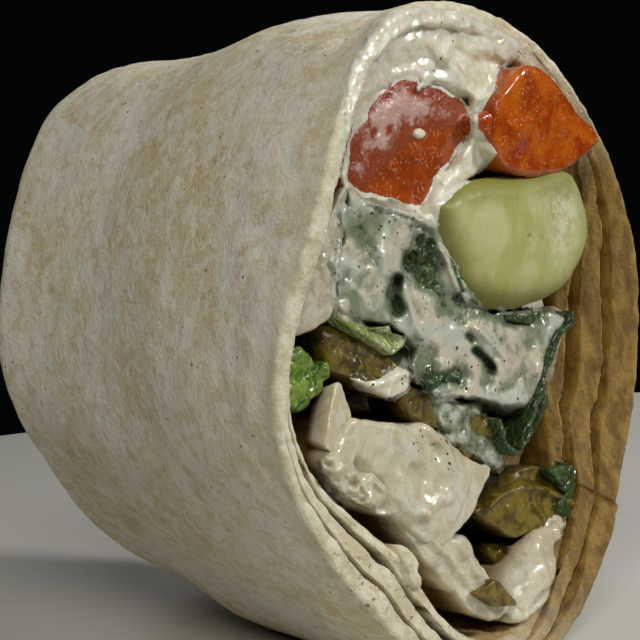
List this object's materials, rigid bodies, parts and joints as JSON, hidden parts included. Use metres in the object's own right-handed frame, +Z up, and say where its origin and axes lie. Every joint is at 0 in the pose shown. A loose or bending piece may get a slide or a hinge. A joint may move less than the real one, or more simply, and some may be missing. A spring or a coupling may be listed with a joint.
{
  "type": "cut half of a filled tortilla wrap",
  "caption": "Cut half of a rolled flour tortilla wrap lying on its side, filled with hummus, pepper, cucumber, dressed greens, pickles and chicken, with one end folded shut.",
  "frame": {"origin": "The middle of the bounding box in plan, on the surface that the wrap rests on.", "axes": "The cut face looks along -Y, the folded end is at +Y, and +Z is up."},
  "size_m": [0.0668, 0.0672, 0.071],
  "materials": {
    "tortilla": "floury flat bread with tan toasted patches",
    "hummus": "wet pale spread",
    "pepper": "wet cut vegetable",
    "cucumber": "wet peeled vegetable",
    "dressing": "creamy dressing with herb flecks over leaves",
    "leaf_dark": "wet dark leaf",
    "leaf_bright": "wet bright leaf",
    "pickle": "wet pickled vegetable",
    "chicken": "moist cooked meat in creamy dressing"
  },
  "bodies": {
    "root": {"tortilla": "tortilla", "hummus": "hummus", "hummus_low": "hummus", "pepper_left": "pepper", "pepper_right": "pepper", "pepper_sliver": "pepper", "cucumber_chunk": "cucumber", "dressed_greens": "dressing", "leaf_centre": "leaf_dark", "leaf_clump": "leaf_dark", "leaf_under_cucumber": "leaf_dark", "leaf_right_edge": "leaf_dark", "leaf_low_right": "leaf_dark", "leaf_bright_left": "leaf_bright", "lettuce_rib": "leaf_bright", "olive_slice": "pickle", "pickle_left": "pickle", "pickle_centre": "pickle", "pickle_right": "pickle", "pickle_deep": "pickle", "pickle_wedge": "pickle", "chicken_left": "chicken", "chicken_wedge": "chicken", "chicken_main": "chicken", "chicken_low": "chicken"}
  },
  "joints": []
}
